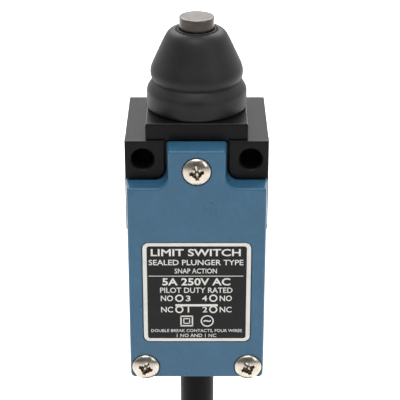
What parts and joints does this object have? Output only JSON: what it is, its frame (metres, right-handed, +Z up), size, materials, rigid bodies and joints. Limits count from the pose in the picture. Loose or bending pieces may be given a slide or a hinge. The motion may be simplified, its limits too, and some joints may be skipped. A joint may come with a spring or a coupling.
{
  "type": "limit switch",
  "caption": "Small sealed limit switch: black moulded case, blue front cover, rubber-booted steel plunger on top, cable from the bottom.",
  "frame": {"origin": "on the rear mounting face, midway between the two mounting holes, at their height", "axes": "+X to the right seen from the front, +Y out of the rear mounting face, +Z up along the plunger"},
  "size_m": [0.0504, 0.0374, 0.2755],
  "materials": {
    "case_plastic": "moulded, semi-gloss",
    "cover_paint": "satin enamel",
    "rubber": "moulded",
    "boot_rubber": "moulded, satin",
    "nameplate": "printed black, silver border",
    "brass": "stamped or turned",
    "spring_steel": "drawn wire",
    "phenolic": "moulded",
    "nylon": "moulded",
    "sheath": "extruded vinyl",
    "plunger_steel": "turned",
    "silver": "pressed",
    "nickel": "nickel plated",
    "core_black": "extruded",
    "core_white": "extruded",
    "core_red": "extruded",
    "core_green": "extruded"
  },
  "bodies": {
    "case": {"case_body": "case_plastic", "front_cover": "cover_paint", "cover_gasket": "rubber", "cover_screw_top": "nickel", "cover_screw_left": "nickel", "cover_screw_right": "nickel", "nameplate": "nameplate", "guide_bush": "brass", "plunger_seal": "rubber", "return_spring": "spring_steel", "plunger_boot": "boot_rubber", "pusher_spring": "spring_steel", "switch_base": "phenolic", "switch_plate": "nylon", "switch_screw_left": "nickel", "switch_screw_right": "nickel", "cable_gland": "rubber", "crimp_ring": "brass", "cable": "sheath", "cable_hank": "sheath", "cable_tie": "nylon", "cable_tail": "sheath", "terminal_1": "brass", "fixed_contact_1": "silver", "terminal_screw_1": "nickel", "core_1": "core_black", "end_core_1": "core_black", "ferrule_1": "nickel", "terminal_2": "brass", "fixed_contact_2": "silver", "terminal_screw_2": "nickel", "core_2": "core_white", "end_core_2": "core_white", "ferrule_2": "nickel", "terminal_3": "brass", "fixed_contact_3": "silver", "terminal_screw_3": "nickel", "core_3": "core_red", "end_core_3": "core_red", "ferrule_3": "nickel", "terminal_4": "brass", "fixed_contact_4": "silver", "terminal_screw_4": "nickel", "core_4": "core_green", "end_core_4": "core_green", "ferrule_4": "nickel"},
    "plunger": {"plunger": "plunger_steel", "retaining_ring": "spring_steel", "overtravel_spring": "spring_steel"},
    "pusher": {"pusher": "nylon"},
    "contacts": {"contact_frame": "brass", "moving_contact_left": "silver", "moving_contact_right": "silver", "snap_spring_left": "spring_steel", "snap_spring_right": "spring_steel"}
  },
  "joints": [
    {"name": "plunger_travel", "type": "slide", "parent": "case", "child": "plunger", "axis": [0, 0, -1], "range_m": [0, 0.0055], "stiffness_N_per_m": 1200, "springref_m": -0.006, "deforming": ["return_spring", "plunger_boot", "overtravel_spring"]},
    {"name": "pusher_travel", "type": "slide", "parent": "case", "child": "pusher", "axis": [0, 0, -1], "range_m": [0, 0.0012], "deforming": ["pusher_spring", "snap_spring_left", "snap_spring_right"]},
    {"name": "contact_travel", "type": "slide", "parent": "case", "child": "contacts", "axis": [0, 0, 1], "range_m": [0, 0.0011]}
  ],
  "couplings": [
    {"joint": "pusher_travel", "follows": "plunger_travel", "ratio": 0.21818},
    {"joint": "contact_travel", "follows": "plunger_travel", "ratio": 0.2}
  ]
}
